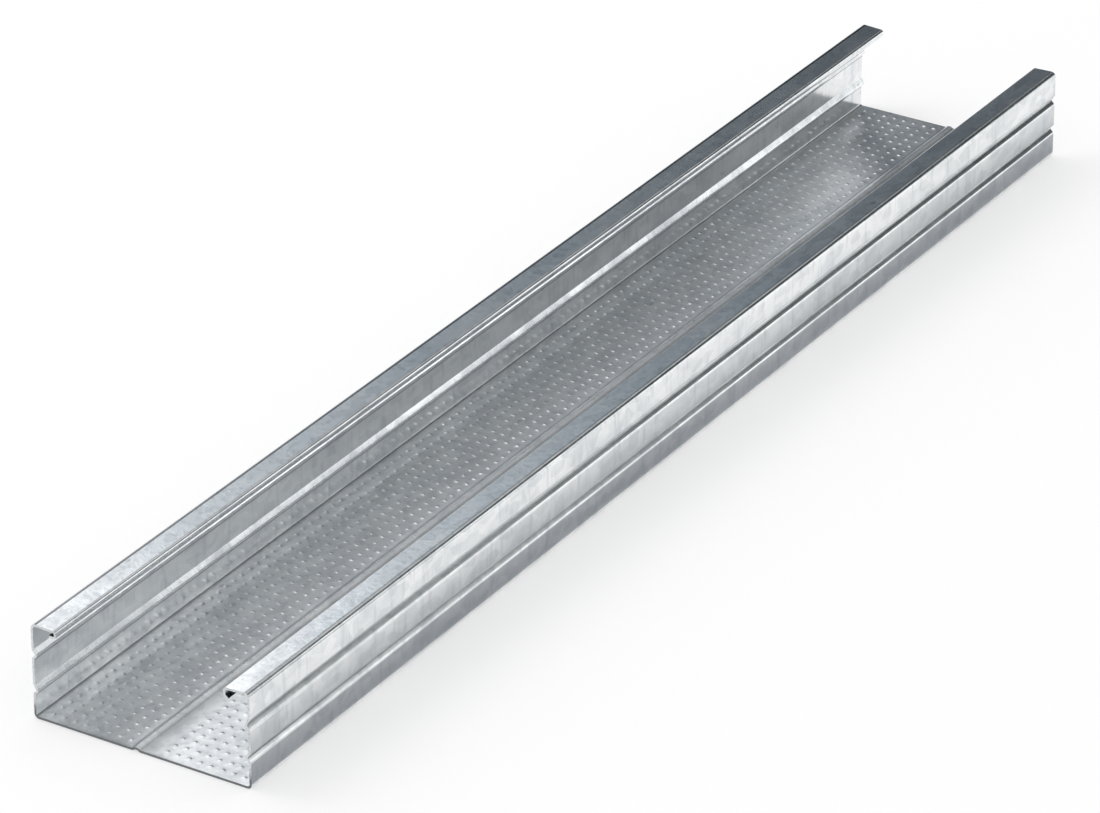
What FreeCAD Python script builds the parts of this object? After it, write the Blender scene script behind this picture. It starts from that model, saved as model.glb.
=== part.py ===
import FreeCAD, Part
import math
import os

import Sketcher

# Ceiling channel, a short length of galvanised C-shaped framing stock.
# One steel strip is roll formed into a web, two flanges with two pressed
# grooves each, two lips turned inwards and a hem along each lip's edge.
#
# X runs across the web, Y along the stock and Z up. The origin lies on the
# underside of the web, midway across it and midway along the stock.

# Driving dimensions, in millimetres
SIZES = (
    ("stock_length", 385.0, "cut length of the piece"),
    ("web_width", 60.0, "outside width over the two flanges"),
    ("flange_height", 25.0, "underside of the web to the top of the flanges"),
    ("sheet_thickness", 0.6, "thickness of the strip"),
    ("heel_radius", 0.6, "inside radius between web and flange"),
    ("shoulder_radius", 0.8, "inside radius between flange and lip"),
    ("hem_radius", 0.35, "inside radius of the lip's edge and of its hem"),
    ("fold_radius", 0.2, "inside radius of grooves and bead"),
    ("lip_width", 7.1, "outer face of the flange to the edge of the lip"),
    ("lip_fall", 0.3, "how far each lip slopes down to its edge"),
    ("hem_drop", 2.2, "depth of each hem below the edge of the lip"),
    ("left_hem_reach", 2.1, "how far the left hem folds back to its flange"),
    ("left_hem_rise", 0.15, "how far the left hem rises to its raw edge"),
    ("right_hem_reach", 1.05, "how far the right hem folds back to its flange"),
    ("right_hem_fall", 0.9, "how far the right hem falls to its raw edge"),
    ("groove_depth", 0.9, "depth of a flange groove"),
    ("groove_upper_rise", 1.65, "root of a groove up to its upper edge"),
    ("groove_lower_rise", 1.1, "root of a groove down to its lower edge"),
    ("lower_groove_height", 7.7, "underside of the web to the lower root"),
    ("upper_groove_height", 16.8, "underside of the web to the upper root"),
    ("bead_offset", 1.65, "middle of the web to the middle of the bead"),
    ("bead_width", 2.1, "width of the bead at its foot, underneath"),
    ("bead_crown", 0.5, "width of the bead's flat crown, underneath"),
    ("bead_height", 0.45, "rise of the bead above the web"),
)

# Corners of the strip's outer face from the left lip down to the left heel,
# before bending radii. Each line gives the corner's name, how far it lies
# from the middle plane, how high it lies and the bend's radius.
EDGE_OF_LIP = "sizes.web_width / 2 - sizes.lip_width"
FLANGE_FACE = "sizes.web_width / 2"
GROOVE_ROOT = "sizes.web_width / 2 - sizes.groove_depth"
FLANGE_TOP = "sizes.flange_height"
LIP_TOP = "sizes.flange_height - sizes.lip_fall"
HEM_FOOT = LIP_TOP + " - sizes.hem_drop"
UNDERSIDE = "0 mm"

LEFT_TIP = (
    EDGE_OF_LIP + " + sizes.left_hem_reach",
    HEM_FOOT + " + sizes.left_hem_rise",
)
RIGHT_TIP = (
    EDGE_OF_LIP + " + sizes.right_hem_reach",
    HEM_FOOT + " - sizes.right_hem_fall",
)


def groove_corners(name, root_height):
    """Return the three corners of one flange groove, from top to bottom."""
    return [
        (name + "_upper_edge", FLANGE_FACE, root_height + " + sizes.groove_upper_rise", "fold_radius"),
        (name + "_root", GROOVE_ROOT, root_height, "fold_radius"),
        (name + "_lower_edge", FLANGE_FACE, root_height + " - sizes.groove_lower_rise", "fold_radius"),
    ]


HALF_SECTION = (
    [
        ("hem_foot", EDGE_OF_LIP, HEM_FOOT, "hem_radius"),
        ("lip_edge", EDGE_OF_LIP, LIP_TOP, "hem_radius"),
        ("shoulder", FLANGE_FACE, FLANGE_TOP, "shoulder_radius"),
    ]
    + groove_corners("upper_groove", "sizes.upper_groove_height")
    + groove_corners("lower_groove", "sizes.lower_groove_height")
    + [("heel", FLANGE_FACE, UNDERSIDE, "heel_radius")]
)

# Corners of the bead from left to right. Each line gives the corner's name,
# how far it lies from the left heel and how high it lies.
TO_BEAD = "sizes.web_width / 2 - sizes.bead_offset"
BEAD = (
    ("bead_left_foot", TO_BEAD + " - sizes.bead_width / 2", UNDERSIDE),
    ("bead_left_crown", TO_BEAD + " - sizes.bead_crown / 2", "sizes.bead_height"),
    ("bead_right_crown", TO_BEAD + " + sizes.bead_crown / 2", "sizes.bead_height"),
    ("bead_right_foot", TO_BEAD + " + sizes.bead_width / 2", UNDERSIDE),
)

# How the sketcher numbers a line's ends, the origin and the two axes
LINE_ENDS = {"start": 1, "end": 2}
ORIGIN, HORIZONTAL_AXIS, VERTICAL_AXIS = -1, -1, -2
NEAR = 1e-5


def make_size_sheet(doc):
    """Write the driving dimensions into a spreadsheet with named cells."""
    sheet = doc.addObject("Spreadsheet::Sheet", "sizes")
    for row, (alias, value, meaning) in enumerate(SIZES, start=1):
        sheet.set("A%d" % row, alias)
        sheet.set("B%d" % row, str(value))
        sheet.set("C%d" % row, meaning)
        sheet.setAlias("B%d" % row, alias)
    doc.recompute()
    return sheet


def evaluate(owner, expression):
    """Return a sheet expression's value as a plain number of millimetres."""
    value = owner.evalExpression(expression)
    return float(getattr(value, "Value", value))


def origin_plane(body, role):
    """Return one of the body's own origin planes."""
    return next(item for item in body.Origin.OriginFeatures if item.Role == role)


def offset_corners(corners, distance):
    """Return the corners of a line drawn beside another at a set distance."""
    headings = [(b - a).normalize() for a, b in zip(corners, corners[1:])]
    sides = [FreeCAD.Vector(-h.y, h.x, 0) for h in headings]
    moved = [corners[0] + sides[0] * distance]
    for corner, before, after in zip(corners[1:], sides, sides[1:]):
        middle = (before + after).normalize()
        moved.append(corner + middle * (distance / middle.dot(after)))
    moved.append(corners[-1] + sides[-1] * distance)
    return moved


def draw_section(body):
    """Draw the strip's closed section, fully sized from the sheet.

    The outer face is drawn corner by corner and placed by the sheet. The
    inner face runs parallel to it, one sheet thickness away.
    """
    start, end = LINE_ENDS["start"], LINE_ENDS["end"]
    sketch = body.newObject("Sketcher::SketchObject", "section")
    sketch.AttachmentSupport = [(origin_plane(body, "XZ_Plane"), "")]
    sketch.MapMode = "FlatFace"

    left = [LEFT_TIP] + [(across, up) for _, across, up, _ in HALF_SECTION]
    right = [RIGHT_TIP] + left[1:]
    heel = -evaluate(sketch, FLANGE_FACE)
    spots = [(-evaluate(sketch, across), evaluate(sketch, up)) for across, up in left]
    spots += [(heel + evaluate(sketch, across), evaluate(sketch, up)) for _, across, up in BEAD]
    spots += [(evaluate(sketch, across), evaluate(sketch, up)) for across, up in reversed(right)]
    outer = [FreeCAD.Vector(x, z, 0) for x, z in spots]
    inner = offset_corners(outer, evaluate(sketch, "sizes.sheet_thickness"))

    runs = len(outer) - 1
    lines = [Part.LineSegment(a, b) for a, b in zip(outer, outer[1:])]
    lines += [Part.LineSegment(a, b) for a, b in zip(inner, inner[1:])]
    lines += [Part.LineSegment(outer[0], inner[0]), Part.LineSegment(outer[-1], inner[-1])]
    sketch.addGeometry(lines, False)
    left_cut, right_cut = 2 * runs, 2 * runs + 1

    rules = []
    for run in range(runs - 1):
        for face in (0, runs):
            rules.append(Sketcher.Constraint("Coincident", face + run, end, face + run + 1, start))
    rules.append(Sketcher.Constraint("Coincident", 0, start, left_cut, start))
    rules.append(Sketcher.Constraint("Coincident", runs, start, left_cut, end))
    rules.append(Sketcher.Constraint("Coincident", runs - 1, end, right_cut, start))
    rules.append(Sketcher.Constraint("Coincident", 2 * runs - 1, end, right_cut, end))
    rules.append(Sketcher.Constraint("Perpendicular", 0, left_cut))
    rules.append(Sketcher.Constraint("Perpendicular", runs - 1, right_cut))
    for run in range(runs):
        rules.append(Sketcher.Constraint("Parallel", run, runs + run))
    sketch.addConstraint(rules)

    def bind(name, expression, *parts):
        """Add one named dimension that follows an expression."""
        index = sketch.addConstraint(Sketcher.Constraint(*parts))
        sketch.renameConstraint(index, name)
        sketch.setExpression("Constraints." + name, expression)

    def corner_end(index):
        """Return the line and the end of it that meet an outer corner."""
        return (index, start) if index < runs else (runs - 1, end)

    def place_up(name, index, up):
        """Dimension how high one outer corner lies."""
        corner = corner_end(index)
        if up == UNDERSIDE:
            sketch.addConstraint(Sketcher.Constraint("PointOnObject", *corner, HORIZONTAL_AXIS))
        else:
            bind(name + "_up", up, "DistanceY", ORIGIN, start, *corner, spots[index][1])

    def place(name, index, across, up):
        """Dimension one outer corner from the origin."""
        corner, middle = corner_end(index), (ORIGIN, start)
        x = spots[index][0]
        ends = corner + middle if x < 0 else middle + corner
        bind(name + "_across", across, "DistanceX", *ends, abs(x))
        place_up(name, index, up)

    place("left_hem_tip", 0, *LEFT_TIP)
    place("right_hem_tip", runs, *RIGHT_TIP)
    for index, (name, across, up, _) in enumerate(HALF_SECTION, start=1):
        place(name, index, across, up)
        mirrored = corner_end(runs - index)
        sketch.addConstraint(
            Sketcher.Constraint("Symmetric", *corner_end(index), *mirrored, VERTICAL_AXIS)
        )
    heel_index = len(HALF_SECTION)
    for index, (name, across, up) in enumerate(BEAD, start=heel_index + 1):
        ends = corner_end(heel_index) + corner_end(index)
        bind(name + "_across", across, "DistanceX", *ends, spots[index][0] - heel)
        place_up(name, index, up)
    for run in range(runs):
        gap = evaluate(sketch, "sizes.sheet_thickness")
        bind("thickness_%d" % run, "sizes.sheet_thickness", "Distance", runs + run, start, run, gap)
    return sketch, outer, inner


def long_edges(shape, spots):
    """Name the straight edges that run along the stock through given spots."""
    names = []
    for number, edge in enumerate(shape.Edges, start=1):
        first, last = edge.Vertexes[0].Point, edge.Vertexes[-1].Point
        along_stock = abs(first.x - last.x) < NEAR and abs(first.z - last.z) < NEAR
        if along_stock and any(
            math.hypot(first.x - spot.x, first.z - spot.y) < NEAR for spot in spots
        ):
            names.append("Edge%d" % number)
    return names


def round_bends(body, solid, outer, inner):
    """Round both faces of every bend to the radius that the sheet gives it."""
    radii = [radius for _, _, _, radius in HALF_SECTION]
    bead_radii = ["fold_radius"] * len(BEAD)
    bends = list(enumerate(radii + bead_radii + radii[::-1], start=1))
    for radius in ("heel_radius", "shoulder_radius", "hem_radius", "fold_radius"):
        tight, wide = [], []
        for index, own_radius in bends:
            if own_radius != radius:
                continue
            before = outer[index] - outer[index - 1]
            after = outer[index + 1] - outer[index]
            turns_in = before.cross(after).z > 0
            tight.append(inner[index] if turns_in else outer[index])
            wide.append(outer[index] if turns_in else inner[index])
        for label, spots, size in (
            ("inside", tight, "sizes." + radius),
            ("outside", wide, "sizes.%s + sizes.sheet_thickness" % radius),
        ):
            fillet = body.newObject("PartDesign::Fillet", "%s_%s" % (label, radius))
            fillet.Base = (solid, long_edges(solid.Shape, spots))
            fillet.setExpression("Radius", size)
            fillet.Document.recompute()
            solid = fillet
    return solid


def make_channel(doc):
    """Build the whole rolled strip as one body."""
    body = doc.addObject("PartDesign::Body", "channel")
    body.Label = "channel"
    sketch, outer, inner = draw_section(body)
    pad = body.newObject("PartDesign::Pad", "rolled_length")
    pad.Profile = sketch
    pad.Midplane = True
    pad.setExpression("Length", "sizes.stock_length")
    doc.recompute()
    body.Tip = round_bends(body, pad, outer, inner)
    body.Placement = FreeCAD.Placement()
    doc.recompute()
    return body


def check(doc, bodies):
    """Stop if any object failed or any sub-part's shape is not sound."""
    for item in doc.Objects:
        if "Invalid" in item.State or "Error" in item.State:
            raise RuntimeError("%s failed: %s" % (item.Label, item.State))
    for body in bodies:
        if body.Shape.isNull() or not body.Shape.isValid():
            raise RuntimeError("%s has no valid shape" % body.Label)
        print(body.Label, "solids", len(body.Shape.Solids), "volume %.1f mm3" % body.Shape.Volume)


def export(bodies):
    """Write each sub-part to a file that carries its name."""
    os.makedirs("parts", exist_ok=True)
    for body in bodies:
        body.Shape.exportStep("parts/%s.step" % body.Label)


def main():
    """Build, check and write the channel."""
    doc = FreeCAD.newDocument("ceiling_channel")
    make_size_sheet(doc)
    bodies = [make_channel(doc)]
    doc.recompute()
    check(doc, bodies)
    export(bodies)


main()
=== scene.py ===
import logging
import math
from dataclasses import dataclass
from enum import Enum

import bpy
from mathutils import Matrix, Vector


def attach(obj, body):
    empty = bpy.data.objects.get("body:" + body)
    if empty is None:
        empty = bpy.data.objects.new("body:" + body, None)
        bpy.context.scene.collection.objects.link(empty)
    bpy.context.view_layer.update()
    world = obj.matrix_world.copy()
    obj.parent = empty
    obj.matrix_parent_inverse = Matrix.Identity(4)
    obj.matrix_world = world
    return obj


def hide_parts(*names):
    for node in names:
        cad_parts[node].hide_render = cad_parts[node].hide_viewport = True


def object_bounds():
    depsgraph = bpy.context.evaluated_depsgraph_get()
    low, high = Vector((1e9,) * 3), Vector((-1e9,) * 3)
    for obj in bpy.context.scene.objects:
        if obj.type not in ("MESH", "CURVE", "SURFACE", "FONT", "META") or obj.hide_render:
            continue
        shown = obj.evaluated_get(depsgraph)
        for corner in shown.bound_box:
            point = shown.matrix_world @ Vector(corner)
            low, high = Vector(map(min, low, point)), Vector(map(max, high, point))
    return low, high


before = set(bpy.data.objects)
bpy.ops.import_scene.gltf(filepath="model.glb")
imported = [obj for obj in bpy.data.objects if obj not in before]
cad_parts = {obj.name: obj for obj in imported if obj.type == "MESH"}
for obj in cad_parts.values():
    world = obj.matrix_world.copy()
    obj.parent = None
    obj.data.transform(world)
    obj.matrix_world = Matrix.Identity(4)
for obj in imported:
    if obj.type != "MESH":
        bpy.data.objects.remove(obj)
CAD_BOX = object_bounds()

MM = 0.001

# A heading that swings by less than this many radians goes straight on.
STRAIGHT = 1e-6
# A spot of the outer face that is this near the floor, in millimetres, is on the web.
ON_FLOOR = 1e-4

# The multipliers behind the fixed, random-looking numbers of wobble.
SCATTER_STRIDES = (12.9898, 78.233, 37.719)
SCATTER_STRETCH = 43758.5453

# How far the first corner of a dimple's cell lies clockwise from +X, seen from its middle.
FIRST_CORNER = 0.75 * math.pi

# The mesh attribute that carries the painted shade, and the material slot of the sawn ends.
SHADE_ATTRIBUTE = "painted_shade"
CUT_SLOT = 1

# The Mix node's output that holds a colour; its colour inputs are number 6 and number 7.
MIXED_COLOUR = 2

logging.basicConfig(level=logging.INFO, format="%(levelname)s %(name)s: %(message)s")
log = logging.getLogger("ceiling_channel")

Point = tuple[float, float]
Point3 = tuple[float, float, float]
Light = tuple[float, float, float]
Colour = tuple[float, float, float, float]
Tone = tuple[float, float]
Socket = bpy.types.NodeSocket

WHITE: Colour = (1.0, 1.0, 1.0, 1.0)


class Side(Enum):
    """The two long sides of the channel, as the sign of their X."""

    LEFT = -1
    RIGHT = 1


class Face(Enum):
    """The two faces of the strip, as the way that each one looks."""

    INSIDE = 1
    UNDERNEATH = -1


class Maths(Enum):
    """What the materials reckon, by the Math node's names."""

    ADD = "ADD"
    SUBTRACT = "SUBTRACT"
    MULTIPLY = "MULTIPLY"
    LARGER = "MAXIMUM"
    SIZE = "ABSOLUTE"


@dataclass(frozen=True)
class PaintedShade:
    """How much painted shade lies on a bend's two faces, and how it is heaped, spilled over and faded."""

    outer: float = 0.0
    inner: float = 0.0
    spill: float = 0.0
    fading: float = 0.0
    heaping: int = 4

    def share(self, part: float) -> float:
        """Return how much of the painted shade lies at one part of the bend, from 0 to 1.

        Args:
            part: how far round the bend the place is, from 0 to 1.

        Returns:
            The share of the bend's whole painted shade.
        """
        heaped = self.spill + (1.0 - self.spill) * math.sin(math.pi * part) ** self.heaping
        return heaped * (1.0 - self.fading * part)


@dataclass(frozen=True)
class Bend:
    """One corner of the strip's outer face, with the inside radius of its bend."""

    across: float
    up: float
    radius: float
    painted_shade: PaintedShade = PaintedShade()

    def mirrored(self) -> "Bend":
        """Return the same bend on the other side of the channel."""
        return Bend(-self.across, self.up, self.radius, self.painted_shade)


@dataclass(frozen=True)
class Station:
    """One place along the strip's section, on both of its faces, and its painted shade."""

    outer: Point
    inner: Point
    outer_shade: float = 0.0
    inner_shade: float = 0.0


@dataclass(frozen=True)
class Groove:
    """How high one groove's root lies, and how far its slopes reach above and below it."""

    height: float
    upper_rise: float
    lower_rise: float


@dataclass
class RolledSection:
    """The section that the strip is rolled to, in millimetres.

    Each shade is how far the painted shade of a ridge or of a shoulder fades out over the flat.
    """

    width: float
    height: float = 25.0
    thickness: float = 0.6
    heel_radius: float = 0.6
    shoulder_radius: float = 0.8
    hem_radius: float = 0.35
    fold_radius: float = 0.2
    lip_width: float = 7.1
    lip_fall: float = 0.3
    hem_drop: float = 2.2
    left_hem_reach: float = 2.1
    left_hem_rise: float = 0.15
    right_hem_reach: float = 1.05
    right_hem_fall: float = 0.9
    groove_depth: float = 0.9
    left_grooves: tuple[Groove, Groove] = (Groove(16.75, 1.35, 1.05), Groove(7.4, 1.45, 0.9))
    right_grooves: tuple[Groove, Groove] = (Groove(16.4, 1.8, 0.9), Groove(8.0, 1.4, 0.95))
    bead_offset: float = 1.65
    bead_width: float = 2.1
    bead_crown: float = 0.5
    bead_height: float = 0.45
    ridge_shade: float = 0.6
    shoulder_shade: float = 1.75
    arc_step_deg: float = 11.0
    least_steps: int = 3

    def groove(self, groove: Groove) -> list[Bend]:
        """Return the bends of one groove of the right flange, from top to bottom.

        Args:
            groove: its height and its two slopes.

        Returns:
            The upper edge, the root, the lower edge and the end of the shade below it.
        """
        face, root = self.width / 2, self.width / 2 - self.groove_depth
        # Painted shade in the groove's root and on the flange just under the ridge.
        in_root = PaintedShade(outer=0.85, spill=0.5)
        below_ridge = PaintedShade(inner=0.45, spill=1.0)
        return [
            Bend(face, groove.height + groove.upper_rise, self.fold_radius),
            Bend(root, groove.height, self.fold_radius, in_root),
            Bend(face, groove.height - groove.lower_rise, self.fold_radius, below_ridge),
            Bend(face, groove.height - groove.lower_rise - self.ridge_shade, self.fold_radius),
        ]

    def lip_spot(self, inward: float) -> Bend:
        """Return a spot on the right lip.

        Args:
            inward: how far it lies from the flange's outer face.

        Returns:
            The spot, as a bend without a radius.
        """
        fall = self.lip_fall * inward / self.lip_width
        return Bend(self.width / 2 - inward, self.height - fall, 0.0)

    def side_bends(self, on_shoulder: PaintedShade, grooves: tuple[Groove, Groove]) -> list[Bend]:
        """Return the bends of a right side, from the hem down to the heel.

        Args:
            on_shoulder: the grime on the bend between the lip and the flange.
            grooves: the upper groove and the lower one.

        Returns:
            The bends in order.
        """
        edge = self.lip_spot(self.lip_width)
        # Painted shade inside the hem, inside the lip's fold and inside the heel.
        in_hem, in_fold, in_heel = PaintedShade(inner=1.0, spill=1.0), PaintedShade(inner=1.0), PaintedShade(inner=0.8)
        return [
            Bend(edge.across, edge.up - self.hem_drop, self.hem_radius, in_hem),
            Bend(edge.across, edge.up, self.hem_radius, in_fold),
            self.lip_spot(self.shoulder_shade),
            Bend(self.width / 2, self.height, self.shoulder_radius, on_shoulder),
            Bend(self.width / 2, self.height - self.shoulder_shade, 0.0),
            *self.groove(grooves[0]),
            *self.groove(grooves[1]),
            Bend(self.width / 2, 0.0, self.heel_radius, in_heel),
        ]

    def bead_bends(self) -> list[Bend]:
        """Return the bends of the web's bead.

        Returns:
            The two feet and the two edges of the crown, from left to right.
        """
        foot, crown, top = self.bead_width / 2, self.bead_crown / 2, self.bead_height
        # Painted shade at the bead's two feet; the crown has none.
        at_foot, unshaded = PaintedShade(inner=0.85, spill=0.4), PaintedShade()
        spots = ((-foot, 0.0, at_foot), (-crown, top, unshaded), (crown, top, unshaded), (foot, 0.0, at_foot))
        return [Bend(x - self.bead_offset, z, self.fold_radius, painted_shade) for x, z, painted_shade in spots]

    def hem_tip(self, side: Side) -> Bend:
        """Return the raw edge of one hem.

        Args:
            side: the side of the channel that the hem is on.

        Returns:
            The end of the strip's outer face, as a bend with no radius.
        """
        lip_edge = self.width / 2 - self.lip_width
        foot = self.height - self.lip_fall - self.hem_drop
        if side is Side.LEFT:
            return Bend(-(lip_edge + self.left_hem_reach), foot + self.left_hem_rise, 0.0)
        return Bend(lip_edge + self.right_hem_reach, foot - self.right_hem_fall, 0.0)

    def bends(self) -> list[Bend]:
        """Return the whole outer face as a chain of bends.

        Returns:
            The bends from the left raw edge to the right one, with both of them.
        """
        # Painted shade along the shoulders: light on the right one, dark on the left one and fading round its
        # bend.
        lightly_shaded, darkened = PaintedShade(outer=0.25), PaintedShade(outer=0.95, spill=1.0, fading=1.0)
        right = self.side_bends(lightly_shaded, self.right_grooves)
        left = [bend.mirrored() for bend in self.side_bends(darkened, self.left_grooves)]
        middle = left + self.bead_bends() + right[::-1]
        return [self.hem_tip(Side.LEFT), *middle, self.hem_tip(Side.RIGHT)]

    def stations(self) -> list[Station]:
        """Return the strip's section as pairs of points on its two faces.

        Returns:
            The stations from the left raw edge to the right one.
        """
        bends = self.bends()
        chain = [Vector((bend.across, bend.up)) for bend in bends]
        headings = [(after - here).normalized() for here, after in zip(chain, chain[1:])]
        made = [self.raw_edge(chain[0], headings[0])]
        for bend, before, after in zip(bends[1:], headings, headings[1:]):
            made += self.turn(bend, before, after)
        made.append(self.raw_edge(chain[-1], headings[-1]))
        return made

    def raw_edge(self, spot: Vector, heading: Vector) -> Station:
        """Return the square cut at one end of the section.

        Args:
            spot: the end of the outer face.
            heading: the direction of the strip there.

        Returns:
            The two corners of the cut.
        """
        inward = Vector((-heading.y, heading.x))
        # The raw edge's inner corner gets full painted shade.
        return Station(tuple(spot), tuple(spot + inward * self.thickness), inner_shade=1.0)

    def turn(self, bend: Bend, before: Vector, after: Vector) -> list[Station]:
        """Return the stations round one bend.

        Args:
            bend: where the outer face's two straight runs would meet, and how tightly.
            before: the heading that comes in.
            after: the heading that goes out.

        Returns:
            Stations from one end of the bend to the other.
        """
        swing = math.atan2(before.x * after.y - before.y * after.x, before.dot(after))
        if abs(swing) < STRAIGHT:
            spot, inward = Vector((bend.across, bend.up)), Vector((-before.y, before.x))
            return [Station(tuple(spot), tuple(spot + inward * self.thickness))]
        way = math.copysign(1.0, swing)
        outer_radius = bend.radius + self.thickness if way > 0 else bend.radius
        inner_radius = outer_radius - way * self.thickness
        start = Vector((bend.across, bend.up)) - before * outer_radius * math.tan(abs(swing) / 2)
        side = Vector((-before.y, before.x)) * way
        centre = start + side * outer_radius
        steps = max(self.least_steps, math.ceil(math.degrees(abs(swing)) / self.arc_step_deg))
        made = []
        for step in range(steps + 1):
            arm = Matrix.Rotation(swing * step / steps, 2) @ -side
            outer, inner = centre + arm * outer_radius, centre + arm * inner_radius
            share = bend.painted_shade.share(step / steps)
            painted_shade = (bend.painted_shade.outer * share, bend.painted_shade.inner * share)
            made.append(Station(tuple(outer), tuple(inner), *painted_shade))
        return made


@dataclass
class SheetMesh:
    """Points and faces of the strip as they are gathered, in millimetres."""

    points: list[Point3]
    faces: list[list[int]]
    painted_shade: list[float]
    cuts: list[int]

    def add(self, x: float, y: float, z: float, painted_shade: float = 0.0) -> int:
        """Keep one point.

        Args:
            x: how far it lies to the right.
            y: how far it lies along the channel.
            z: how high it lies.
            painted_shade: how much painted shade lies on it, from 0 to 1.

        Returns:
            The point's number.
        """
        self.points.append((x, y, z))
        self.painted_shade.append(painted_shade)
        return len(self.points) - 1

    def face(self, corners: list[int], looks: Face = Face.INSIDE) -> None:
        """Keep one face, turned over where it looks down.

        Args:
            corners: the numbers of its points, anticlockwise from above.
            looks: which face of the strip it lies on.
        """
        self.faces.append(corners if looks is Face.INSIDE else corners[::-1])

    def cut_face(self, corners: list[int]) -> None:
        """Keep one face of the sawn ends, with its points in order."""
        self.cuts.append(len(self.faces))
        self.faces.append(corners)


@dataclass
class Dimple:
    """The shape of one pressed dimple on one face of the web, in millimetres."""

    radius: float
    height: float
    sides: int
    shoulder_share: float = 0.55
    shoulder_height: float = 0.72
    unevenness: float = 0.3

    def ring(self, mesh: SheetMesh, centre: Point, radius: float, level: float) -> list[int]:
        """Add one ring of points round the dimple's middle.

        Args:
            mesh: what the points are added to.
            centre: the dimple's middle, as X and Y.
            radius: how far the ring lies from it.
            level: how high the ring lies.

        Returns:
            The numbers of its points, anticlockwise from the cell's first corner.
        """
        made = []
        for side in range(self.sides):
            angle = math.tau * (side + 0.5) / self.sides - FIRST_CORNER
            x, y = centre[0] + radius * math.cos(angle), centre[1] + radius * math.sin(angle)
            made.append(mesh.add(x, y, level))
        return made

    def press(self, mesh: SheetMesh, centre: Point, level: float, looks: Face, cell: list[int]) -> None:
        """Add one dimple and the flat ring between it and its cell's corners.

        Args:
            mesh: what the points and faces are added to.
            centre: the dimple's middle, as X and Y.
            level: how high the flat of the web lies there.
            looks: which face of the strip the dimple is seen on.
            cell: the numbers of the cell's four corners, anticlockwise from above.
        """
        height = self.height * (1.0 + self.unevenness * wobble(centre[0], centre[1], 1.0))
        foot = self.ring(mesh, centre, self.radius, level)
        shoulder_level = level + height * self.shoulder_height
        shoulder = self.ring(mesh, centre, self.radius * self.shoulder_share, shoulder_level)
        crown = mesh.add(centre[0], centre[1], level + height)
        quarter = self.sides // 4
        for corner in range(4):
            near = (corner * quarter - 1) % self.sides
            far = corner * quarter
            mesh.face([cell[corner], foot[far], foot[near]], looks)
            here = [foot[(far + step) % self.sides] for step in range(quarter)]
            mesh.face([cell[corner], cell[(corner + 1) % 4], *here[::-1]], looks)
        for side in range(self.sides):
            after = (side + 1) % self.sides
            mesh.face([foot[side], foot[after], shoulder[after], shoulder[side]], looks)
            mesh.face([shoulder[side], shoulder[after], crown], looks)


@dataclass
class DimpledHalf:
    """One half of the web, between the bead and a heel, with its dimples, in millimetres."""

    first_column: float = 5.0
    column_pitch: float = 3.05
    columns: int = 8
    row_pitch: float = 3.3
    end_margin: float = 0.6
    jitter: float = 0.14

    def column_lines(self, on_left: bool) -> list[float]:
        """Return where the cells' long edges lie.

        Args:
            on_left: whether the half lies left of the bead.

        Returns:
            The X of each edge, from left to right.
        """
        first = self.first_column - self.column_pitch / 2
        lines = [first + self.column_pitch * step for step in range(self.columns + 1)]
        return [-x for x in lines[::-1]] if on_left else lines

    def fill(self, mesh: SheetMesh, rim: list[int], level: float, looks: Face, dimple: Dimple) -> None:
        """Cover one face of the half with cells that hold a dimple each.

        Args:
            mesh: what the points and faces are added to.
            rim: the numbers of the half's four corners, anticlockwise from above.
            level: how high the flat of that face lies.
            looks: which face of the strip is covered.
            dimple: the dimple's shape on that face.
        """
        corners = [mesh.points[number] for number in rim]
        near, far = corners[0][1], corners[2][1]
        left, right = corners[0][0], corners[1][0]
        rows = int((far - near - self.end_margin) // self.row_pitch)
        start = (near + far - rows * self.row_pitch) / 2
        lines = self.column_lines(right <= 0)
        edges = [start + self.row_pitch * row for row in range(rows + 1)]
        grid = [[mesh.add(x, y, level) for x in lines] for y in edges]
        for row, (here, after) in enumerate(zip(grid, grid[1:])):
            for column in range(self.columns):
                cell = [here[column], here[column + 1], after[column + 1], after[column]]
                x = (lines[column] + lines[column + 1]) / 2 + self.jitter * wobble(row, column, left)
                y = start + self.row_pitch * (row + 0.5) + self.jitter * wobble(column, row, right)
                dimple.press(mesh, (x, y), level, looks, cell)
        left_line = [row[0] for row in grid]
        right_line = [row[-1] for row in grid]
        mesh.face([rim[0], *left_line, rim[3]], looks)
        mesh.face([rim[1], *right_line, rim[2]][::-1], looks)
        mesh.face([rim[0], rim[1], *grid[0][::-1]], looks)
        mesh.face([rim[3], rim[2], *grid[-1][::-1]][::-1], looks)


def wobble(first: float, second: float, third: float) -> float:
    """Return a fixed number from -1 to 1 that looks random.

    Args:
        first: the first number that it depends on.
        second: the second one.
        third: the third one.

    Returns:
        The same number for the same three each time.
    """
    strides = SCATTER_STRIDES
    phase = first * strides[0] + second * strides[1] + third * strides[2]
    grain = math.sin(phase) * SCATTER_STRETCH
    return 2 * (grain - math.floor(grain)) - 1


@dataclass(frozen=True)
class Change:
    """A smooth change of one value while another runs from low to high."""

    low: float
    high: float
    at_low: float = 0.0
    at_high: float = 1.0


@dataclass(frozen=True)
class Mottle:
    """A soft noise: its lumps in a metre, how much fine grain it has and how far it is warped."""

    lumps: float
    detail: float
    warp: float


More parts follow.
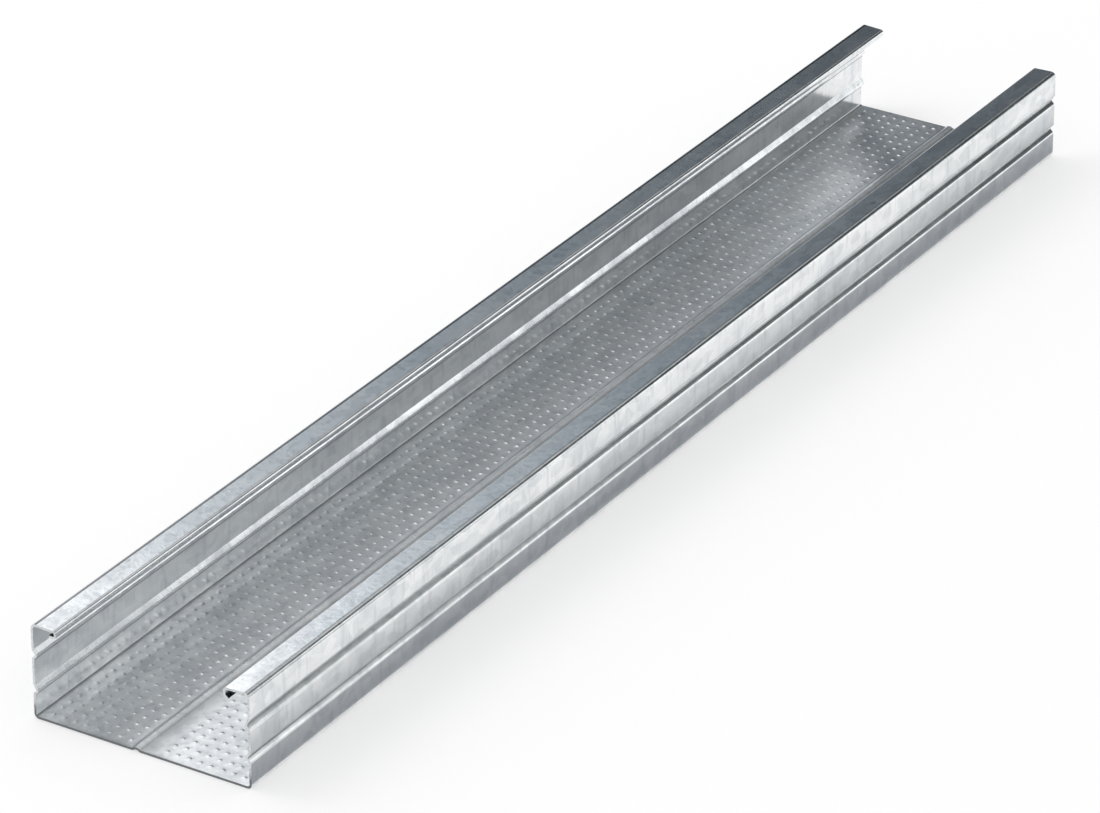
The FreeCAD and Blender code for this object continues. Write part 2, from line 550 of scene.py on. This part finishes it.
class Nodes:
    """A short way to write a material's nodes."""

    def __init__(self, material: bpy.types.Material) -> None:
        """Empty the material's tree and keep it.

        Args:
            material: the material whose nodes are made.
        """
        material.use_nodes = True
        self.tree = material.node_tree
        self.tree.nodes.clear()

    def make(self, kind: str, settings: dict[str, object] | None = None, **sockets: object) -> bpy.types.Node:
        """Make one node, set its options and feed its sockets.

        Args:
            kind: the node's type, without its prefix.
            settings: the node's own options by name.
            **sockets: values or outputs for its inputs, with an underscore for a space, or
                in_ and a number for an input that shares its name with others.

        Returns:
            The new node.
        """
        node = self.tree.nodes.new("ShaderNode" + kind)
        for name, value in (settings or {}).items():
            setattr(node, name, value)
        for name, value in sockets.items():
            number = name.removeprefix("in_")
            key = name.replace("_", " ") if number == name else int(number)
            self.feed(node.inputs[key], value)
        return node

    def feed(self, socket: Socket, value: object) -> None:
        """Give an input a value of its own or another node's output.

        Args:
            socket: the input.
            value: a number, a vector, a colour or an output.
        """
        if isinstance(value, Socket):
            self.tree.links.new(value, socket)
        else:
            socket.default_value = value

    def place(self) -> Socket:
        """Return the place on the object, in metres."""
        return self.make("TexCoord").outputs["Object"]

    def stretched(self, place: Socket, scale: Point3) -> Socket:
        """Return a place whose three measures are scaled, so that a pattern is drawn out."""
        return self.make("Mapping", Vector=place, Scale=scale).outputs["Vector"]

    def split(self, place: Socket) -> bpy.types.bpy_prop_collection:
        """Return the three measures of a place, as outputs by their letters."""
        return self.make("SeparateXYZ", Vector=place).outputs

    def draw(self, colour: Socket) -> Socket:
        """Return one number from 0 to 1 out of a cell's random colour."""
        return self.make("SeparateColor", Color=colour).outputs[0]

    def maths(self, kind: Maths, first: object, second: object = 0.0, clamped: bool = False) -> Socket:
        """Reckon with one or two values.

        Args:
            kind: what is done with them.
            first: the first value or output.
            second: the second one, where there is one.
            clamped: whether the result is kept between 0 and 1.

        Returns:
            The result.
        """
        settings = {"operation": kind.value, "use_clamp": clamped}
        return self.make("Math", settings, in_0=first, in_1=second).outputs[0]

    def grow(self, value: Socket, change: Change) -> Socket:
        """Map a value smoothly to another one.

        Args:
            value: the output that is read.
            change: where the change begins and ends, and what comes out there.

        Returns:
            The mapped output.
        """
        node = self.make(
            "MapRange", {"interpolation_type": "SMOOTHSTEP"},
            Value=value, From_Min=change.low, From_Max=change.high,
            To_Min=change.at_low, To_Max=change.at_high,
        )
        return node.outputs["Result"]

    def blend(self, share: object, first: object, second: object) -> Socket:
        """Mix two colours by a share.

        Args:
            share: how much of the second colour shows.
            first: the first colour.
            second: the second colour.

        Returns:
            The mixed colour.
        """
        node = self.make("Mix", {"data_type": "RGBA"}, in_0=share, in_6=first, in_7=second)
        return node.outputs[MIXED_COLOUR]

    def noise(self, place: Socket, mottle: Mottle) -> Socket:
        """Return a soft noise over the surface.

        Args:
            place: where the noise is read.
            mottle: how the noise looks.

        Returns:
            The noise from 0 to 1.
        """
        node = self.make(
            "TexNoise", Vector=place, Scale=mottle.lumps, Detail=mottle.detail, Distortion=mottle.warp,
        )
        return node.outputs["Fac"]

    def finish(self, surface: Socket) -> None:
        """Join the shader to the material's output."""
        self.make("OutputMaterial", Surface=surface)


@dataclass(frozen=True)
class GalvanisedZinc:
    """The zinc coat of the rolled strip: semi-bright, with a soft spangle, and darkened by painted shade
    where the strip's points carry it.

    The cells of the spangle and of the scuffs are counted by the metre, heights are in metres,
    and drawn, upright and along are how much each pattern is squeezed along X, Y and Z.
    """

    bright: Colour = (0.925, 0.94, 0.95, 1.0)
    cloudy: Colour = (0.71, 0.735, 0.755, 1.0)
    scuff: Colour = (0.50, 0.53, 0.56, 1.0)
    # The near black of the painted shade.
    shade_colour: Colour = (0.035, 0.04, 0.045, 1.0)
    drawn: Point3 = (1.0, 0.55, 1.0)
    clouds: Mottle = Mottle(lumps=95.0, detail=3.0, warp=0.6)
    bloom: Change = Change(0.40, 0.66, 0.0, 0.5)
    spangle: float = 430.0
    flecks: Change = Change(0.25, 1.0, 0.0, 0.45)
    upright: Point3 = (1.0, 1.0, 0.16)
    streaks: Mottle = Mottle(lumps=520.0, detail=2.0, warp=0.5)
    streak_tone: Change = Change(0.50, 0.72, 0.0, 0.5)
    along: Point3 = (1.6, 0.8, 1.6)
    scuffs: float = 115.0
    scuff_edge: Change = Change(0.07, 0.13, 1.0, 0.0)
    scuffs_chosen: Change = Change(0.72, 0.80, 0.0, 0.7)
    polish: Change = Change(0.3, 0.7, 0.16, 0.23)
    web_dulling: Change = Change(0.0008, 0.0016, 0.12, 0.0)
    waves: Mottle = Mottle(lumps=60.0, detail=2.0, warp=0.8)
    wave_height: float = 0.00008
    streak_height: float = 0.000016

    def build(self) -> bpy.types.Material:
        """Make the finish.

        Returns:
            The zinc as a material, with its colour, its polish and its fine relief.
        """
        material = bpy.data.materials.new("galvanised_zinc")
        nodes = Nodes(material)
        place = nodes.place()
        drawn = nodes.stretched(place, self.drawn)
        clouds = nodes.noise(drawn, self.clouds)
        streaks = nodes.noise(nodes.stretched(place, self.upright), self.streaks)
        share = self.cloudy_share(nodes, drawn, clouds, streaks)
        coat = nodes.blend(share, self.bright, self.cloudy)
        marked = nodes.blend(self.scuffed_share(nodes, place), coat, self.scuff)
        # Painted shade: the coat darkens to near black where the points carry it, in creases, hollows, under
        # ridges and along the shoulders.
        painted_shade = nodes.make("Attribute", {"attribute_name": SHADE_ATTRIBUTE}).outputs["Fac"]
        colour = nodes.blend(painted_shade, marked, self.shade_colour)
        dulling = nodes.grow(nodes.split(place)["Z"], self.web_dulling)
        roughness = nodes.maths(Maths.ADD, nodes.grow(clouds, self.polish), dulling)
        shader = nodes.make(
            "BsdfPrincipled", Base_Color=colour, Metallic=1.0, Roughness=roughness,
            Normal=self.relief(nodes, drawn, streaks),
        )
        nodes.finish(shader.outputs["BSDF"])
        return material

    def cloudy_share(self, nodes: Nodes, drawn: Socket, clouds: Socket, streaks: Socket) -> Socket:
        """Return how much of the coat is cloudy, from its clouds, its spangle and its streaks.

        Args:
            nodes: the material's nodes.
            drawn: the place, drawn out along the strip.
            clouds: the noise of the clouds.
            streaks: the noise of the upright streaks.

        Returns:
            The share from 0 to 1.
        """
        grains = nodes.make("TexVoronoi", Vector=drawn, Scale=self.spangle, Randomness=1.0)
        fleck = nodes.grow(nodes.draw(grains.outputs["Color"]), self.flecks)
        mottled = nodes.maths(Maths.ADD, nodes.grow(clouds, self.bloom), fleck)
        return nodes.maths(Maths.ADD, mottled, nodes.grow(streaks, self.streak_tone), clamped=True)

    def scuffed_share(self, nodes: Nodes, place: Socket) -> Socket:
        """Return how strongly the few short scuffs show.

        Args:
            nodes: the material's nodes.
            place: the place on the strip.

        Returns:
            The share from 0 to 1.
        """
        stretched = nodes.stretched(place, self.along)
        marks = nodes.make("TexVoronoi", Vector=stretched, Scale=self.scuffs, Randomness=1.0).outputs
        stroke = nodes.grow(marks["Distance"], self.scuff_edge)
        chosen = nodes.grow(nodes.draw(marks["Color"]), self.scuffs_chosen)
        return nodes.maths(Maths.MULTIPLY, stroke, chosen)

    def relief(self, nodes: Nodes, drawn: Socket, streaks: Socket) -> Socket:
        """Return the surface's direction with the strip's slight waves and streaks.

        Args:
            nodes: the material's nodes.
            drawn: the place, drawn out along the strip.
            streaks: the noise of the upright streaks.

        Returns:
            The direction.
        """
        waves = nodes.make(
            "Bump", Height=nodes.noise(drawn, self.waves), Strength=1.0, Distance=self.wave_height,
        )
        grain = nodes.make(
            "Bump", Height=streaks, Strength=1.0, Distance=self.streak_height,
            Normal=waves.outputs["Normal"],
        )
        return grain.outputs["Normal"]


@dataclass(frozen=True)
class CutSteel:
    """The bare steel of the sawn ends, with a painted shade that darkens it low down, near the floor."""

    unshaded: Colour = (0.70, 0.72, 0.73, 1.0)
    # The painted shade low down, and the heights in metres over which it fades out.
    low_shade_colour: Colour = (0.19, 0.20, 0.205, 1.0)
    low_shading: Change = Change(0.0012, 0.006, 1.0, 0.0)
    scratches: Mottle = Mottle(lumps=2600.0, detail=2.0, warp=0.4)
    wear: Change = Change(0.35, 0.75, 0.0, 0.35)
    polish: Change = Change(0.3, 0.7, 0.32, 0.48)

    def build(self) -> bpy.types.Material:
        """Make the finish.

        Returns:
            The cut steel as a material.
        """
        material = bpy.data.materials.new("cut_steel")
        nodes = Nodes(material)
        place = nodes.place()
        # Painted shade: the ends darken towards the floor.
        low = nodes.grow(nodes.split(place)["Z"], self.low_shading)
        scratches = nodes.noise(place, self.scratches)
        share = nodes.maths(Maths.ADD, low, nodes.grow(scratches, self.wear), clamped=True)
        shader = nodes.make(
            "BsdfPrincipled", Base_Color=nodes.blend(share, self.unshaded, self.low_shade_colour), Metallic=1.0,
            Roughness=nodes.grow(scratches, self.polish),
        )
        nodes.finish(shader.outputs["BSDF"])
        return material


@dataclass
class ChannelSheet:
    """The whole channel: one strip, rolled to its section and cut to length."""

    section: RolledSection
    length: float
    zinc: GalvanisedZinc
    cut: CutSteel
    bump: Dimple
    hollow: Dimple
    crease_deg: float = 38.0

    def build(self) -> bpy.types.Object:
        """Make the strip.

        Returns:
            One closed mesh with its finish.
        """
        mesh = SheetMesh([], [], [], [])
        stations = self.section.stations()
        outer = [self.lay(mesh, station.outer, station.outer_shade) for station in stations]
        inner = [self.lay(mesh, station.inner, station.inner_shade) for station in stations]
        halves = self.web_runs(stations)
        for run in range(len(stations) - 1):
            after = run + 1
            if run in halves:
                half = halves[run]
                top = [inner[run][0], inner[after][0], inner[after][1], inner[run][1]]
                bottom = [outer[run][0], outer[after][0], outer[after][1], outer[run][1]]
                half.fill(mesh, top, self.section.thickness, Face.INSIDE, self.bump)
                half.fill(mesh, bottom, 0.0, Face.UNDERNEATH, self.hollow)
            else:
                mesh.face([inner[run][0], inner[after][0], inner[after][1], inner[run][1]])
                mesh.face([outer[run][0], outer[run][1], outer[after][1], outer[after][0]])
            mesh.cut_face([outer[run][0], outer[after][0], inner[after][0], inner[run][0]])
            mesh.cut_face([outer[run][1], inner[run][1], inner[after][1], outer[after][1]])
        mesh.face([outer[0][0], inner[0][0], inner[0][1], outer[0][1]])
        mesh.face([outer[-1][1], inner[-1][1], inner[-1][0], outer[-1][0]])
        return self.dress(mesh)

    def lay(self, mesh: SheetMesh, spot: Point, painted_shade: float) -> list[int]:
        """Add a spot of the section at the near end and at the far one, and return their numbers."""
        return [mesh.add(spot[0], y, spot[1], painted_shade) for y in (-self.length / 2, self.length / 2)]

    def web_runs(self, stations: list[Station]) -> dict[int, DimpledHalf]:
        """Find the two flat halves of the web.

        Args:
            stations: the section's stations in order.

        Returns:
            The number of the station where each half starts, with its dimples.
        """
        found = {}
        for number, (here, after) in enumerate(zip(stations, stations[1:])):
            flat = abs(here.outer[1]) < ON_FLOOR and abs(after.outer[1]) < ON_FLOOR
            if flat and after.outer[0] - here.outer[0] > self.section.width / 4:
                found[number] = DimpledHalf()
        return found

    def dress(self, mesh: SheetMesh) -> bpy.types.Object:
        """Turn the gathered faces into an object with smooth bends.

        Args:
            mesh: the strip's points and faces.

        Returns:
            The finished object.
        """
        data = bpy.data.meshes.new("channel_sheet")
        data.from_pydata([tuple(c * MM for c in point) for point in mesh.points], [], mesh.faces)
        data.validate()
        # The painted shade goes onto the points, and the zinc darkens by it.
        painted_shade = data.attributes.new(SHADE_ATTRIBUTE, "FLOAT", "POINT")
        painted_shade.data.foreach_set("value", mesh.painted_shade)
        data.materials.append(self.zinc.build())
        data.materials.append(self.cut.build())
        for number in mesh.cuts:
            data.polygons[number].material_index = CUT_SLOT
        data.shade_smooth()
        data.set_sharp_from_angle(angle=math.radians(self.crease_deg))
        sheet = bpy.data.objects.new("channel_sheet", data)
        bpy.context.scene.collection.objects.link(sheet)
        weighted = sheet.modifiers.new("even_normals", "WEIGHTED_NORMAL")
        weighted.keep_sharp = True
        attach(sheet, "root")
        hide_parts("channel")
        return sheet


def panel(name: str, corners: list[Point3], material: bpy.types.Material) -> bpy.types.Object:
    """Make one flat four-sided piece of the studio.

    Args:
        name: what it is called.
        corners: its corners in order, in metres.
        material: its finish.

    Returns:
        The panel.
    """
    data = bpy.data.meshes.new(name)
    data.from_pydata(corners, [], [(0, 1, 2, 3)])
    data.materials.append(material)
    board = bpy.data.objects.new(name, data)
    bpy.context.scene.collection.objects.link(board)
    return board


def hide_from_all_but_metal(board: bpy.types.Object) -> None:
    """Let a panel of the studio show in reflections only.

    Args:
        board: the panel.
    """
    board.visible_camera = False
    board.visible_diffuse = False
    board.visible_shadow = False


@dataclass(frozen=True)
class PaleFloor:
    """The plain floor of the studio, in metres, with the soft shadow that falls on it."""

    colour: Colour = (0.95, 0.95, 0.95, 1.0)
    glow_share: float = 0.28
    glow: float = 1.1
    reach: float = 12.0
    level: float = -0.00005

    def build(self) -> bpy.types.Object:
        """Lay the floor under the channel.

        Returns:
            The floor.
        """
        material = bpy.data.materials.new("studio_floor")
        nodes = Nodes(material)
        rays = nodes.make("LightPath").outputs
        seen = nodes.maths(Maths.ADD, rays["Is Camera Ray"], rays["Is Glossy Ray"])
        seen = nodes.maths(Maths.ADD, seen, rays["Is Transmission Ray"], clamped=True)
        share = nodes.maths(Maths.MULTIPLY, seen, self.glow_share)
        matt = nodes.make("BsdfDiffuse", Color=self.colour, Roughness=0.0).outputs["BSDF"]
        white = nodes.make("Emission", Color=WHITE, Strength=self.glow).outputs["Emission"]
        mixed = nodes.make("MixShader", in_0=share, in_1=matt, in_2=white)
        nodes.finish(mixed.outputs["Shader"])
        far, z = self.reach, self.level
        return panel("floor", [(-far, -far, z), (far, -far, z), (far, far, z), (-far, far, z)], material)


@dataclass(frozen=True)
class FloorShadowFilm:
    """A grey film on the floor at the right, seen in the metal only, pale away from the part: a painted
    shadow that darkens the floor's reflection next to the part.
    """

    start: float = 0.031
    end: float = 0.051
    length: float = 2.4
    level: float = 0.0002
    shadow_tint: Colour = (0.375, 0.39, 0.41, 1.0)

    def build(self) -> bpy.types.Object:
        """Lay the film.

        Returns:
            The film.
        """
        material = bpy.data.materials.new("painted_floor_shadow")
        nodes = Nodes(material)
        # Painted shadow: the film is darkest next to the part and clear beyond its end.
        share = nodes.grow(nodes.split(nodes.place())["X"], Change(self.start, self.end))
        shader = nodes.make("BsdfTransparent", Color=nodes.blend(share, self.shadow_tint, WHITE))
        nodes.finish(shader.outputs["BSDF"])
        near, far, z = -self.length / 2, self.length / 2, self.level
        corners = [(self.start, near, z), (self.end, near, z), (self.end, far, z), (self.start, far, z)]
        film = panel("painted_floor_shadow", corners, material)
        hide_from_all_but_metal(film)
        return film


@dataclass(frozen=True)
class FarBoard:
    """A wide board beyond the far end, seen in the metal only, for its run of tones.

    Its sizes are in metres. Each tone is a place across the board and how bright it is there.
    """

    distance: float = 3.0
    half_width: float = 5.0
    top: float = 3.6
    slant: float = 0.5
    bow: float = 0.8
    opening: Change = Change(1.92, 2.08)
    open_tone: float = 0.55
    peak: float = 1.6
    left_light: Light = (0.72, 0.87, 1.0)
    right_light: Light = (0.88, 0.98, 1.0)
    left_tones: tuple[Tone, ...] = (
        (-3.50, 1.60), (-3.42, 1.00), (-3.34, 0.62), (-3.20, 0.47), (-3.04, 0.40), (-2.90, 0.32),
        (-2.74, 0.25), (-2.60, 0.19), (-2.47, 0.15), (-2.35, 0.12), (-2.23, 0.10), (-1.90, 0.09),
    )
    right_tones: tuple[Tone, ...] = (
        (1.30, 0.05), (1.60, 0.06), (1.69, 0.07), (1.78, 0.08), (1.87, 0.11), (1.98, 0.14),
        (2.10, 0.18), (2.23, 0.22), (2.37, 0.32), (2.50, 0.50), (2.70, 1.05), (2.85, 1.45),
        (3.80, 1.45), (4.30, 0.30),
    )

    def build(self) -> bpy.types.Object:
        """Stand the board up.

        Returns:
            The board.
        """
        material = bpy.data.materials.new("far_board")
        nodes = Nodes(material)
        place = nodes.split(nodes.place())
        banded = self.banded(nodes, place)
        arch = nodes.maths(Maths.MULTIPLY, nodes.maths(Maths.SIZE, place["X"]), self.bow)
        above = nodes.maths(Maths.SUBTRACT, place["Z"], arch)
        rim = self.open_tone / self.peak
        faded = nodes.blend(nodes.grow(above, self.opening), banded, (rim, rim, rim, 1.0))
        shader = nodes.make("Emission", Color=faded, Strength=self.peak)
        nodes.finish(shader.outputs["Emission"])
        side, y, top = self.half_width, self.distance, self.top
        corners = [(-side, y, 0.0), (side, y, 0.0), (side, y, top), (-side, y, top)]
        board = panel("far_board", corners, material)
        hide_from_all_but_metal(board)
        return board

    def banded(self, nodes: Nodes, place: bpy.types.bpy_prop_collection) -> Socket:
        """Return the board's slanting bands of tones.

        Args:
            nodes: the material's nodes.
            place: the three measures of the place on the board.

        Returns:
            The bands' colour, as a share of the board's peak.
        """
        on_right = nodes.maths(Maths.LARGER, place["X"], 0.0)
        past = nodes.maths(Maths.SUBTRACT, on_right, place["Z"])
        lean = nodes.maths(Maths.MULTIPLY, past, self.slant)
        across = nodes.maths(Maths.ADD, place["X"], lean)
        first = -self.half_width - self.slant * self.top
        last = self.half_width * (1.0 + self.slant)
        part = nodes.make("MapRange", Value=across, From_Min=first, From_Max=last).outputs["Result"]
        ramp = nodes.make("ValToRGB", Fac=part)
        bands = [(at, tone, self.left_light) for at, tone in self.left_tones]
        bands += [(at, tone, self.right_light) for at, tone in self.right_tones]
        while len(ramp.color_ramp.elements) < len(bands):
            ramp.color_ramp.elements.new(1.0)
        for element, (at, tone, light) in zip(ramp.color_ramp.elements, bands):
            element.position = (at - first) / (last - first)
            strength = tone / self.peak
            element.color = (*(strength * share ** (1.0 - strength) for share in light), 1.0)
        return ramp.outputs["Color"]


@dataclass(frozen=True)
class StudioLight:
    """Even light from all round and one soft lamp above the left side."""

    surround: float = 0.92
    lamp_watts: float = 3.0
    lamp_size: float = 0.9
    lamp_place: Point3 = (-0.9, -0.25, 1.1)

    def build(self) -> bpy.types.Object:
        """Light the studio.

        Returns:
            The lamp.
        """
        world = bpy.data.worlds.new("studio")
        world.use_nodes = True
        background = world.node_tree.nodes["Background"]
        background.inputs["Color"].default_value = WHITE
        background.inputs["Strength"].default_value = self.surround
        bpy.context.scene.world = world
        data = bpy.data.lights.new("soft_lamp", "AREA")
        data.shape = "DISK"
        data.size = self.lamp_size
        data.energy = self.lamp_watts
        lamp = bpy.data.objects.new("soft_lamp", data)
        lamp.location = self.lamp_place
        lamp.rotation_euler = (-Vector(self.lamp_place)).to_track_quat("-Z", "Y").to_euler()
        bpy.context.scene.collection.objects.link(lamp)
        return lamp


@dataclass(frozen=True)
class PhotoCamera:
    """The camera at the photograph's viewing angle, fitted to its straight edges."""

    lens: float = 202.73
    azimuth_deg: float = 31.7927
    elevation_deg: float = 28.0145
    distance: float = 1.540503
    sideways: float = -0.0091008
    upwards: float = -0.0098106
    aim_height: float = 0.013
    clip_start: float = 0.05
    clip_end: float = 60.0

    def build(self) -> bpy.types.Object:
        """Place the camera and make it the scene's own.

        Returns:
            The camera.
        """
        turn, rise = math.radians(self.azimuth_deg), math.radians(self.elevation_deg)
        back = Vector((math.sin(turn) * math.cos(rise), -math.cos(turn) * math.cos(rise), math.sin(rise)))
        right = Vector((math.cos(turn), math.sin(turn), 0.0))
        up = back.cross(right)
        data = bpy.data.cameras.new("photo_camera")
        data.lens = self.lens
        data.clip_start = self.clip_start
        data.clip_end = self.clip_end
        camera = bpy.data.objects.new("photo_camera", data)
        place = back * self.distance + right * self.sideways + up * self.upwards
        place.z += self.aim_height
        heading = Matrix((right, up, back)).transposed().to_quaternion()
        camera.matrix_world = Matrix.LocRotScale(place, heading, None)
        bpy.context.scene.collection.objects.link(camera)
        bpy.context.scene.camera = camera
        return camera


def main() -> None:
    """Build the channel, the studio and the camera."""
    low, high = CAD_BOX
    channel = ChannelSheet(
        section=RolledSection(width=(high.x - low.x) / MM),
        length=(high.y - low.y) / MM,
        zinc=GalvanisedZinc(),
        cut=CutSteel(),
        bump=Dimple(radius=0.72, height=0.17, sides=12),
        hollow=Dimple(radius=0.62, height=0.16, sides=8),
    ).build()
    triangles = sum(len(polygon.vertices) - 2 for polygon in channel.data.polygons)
    log.info("%s: %d triangles", channel.name, triangles)
    for part in (PaleFloor(), FloorShadowFilm(), FarBoard(), StudioLight(), PhotoCamera()):
        log.info("%s is set up in the studio", part.build().name)
    bpy.context.scene.view_settings.view_transform = "Standard"
    bpy.context.view_layer.update()


if __name__ == "__main__":
    main()
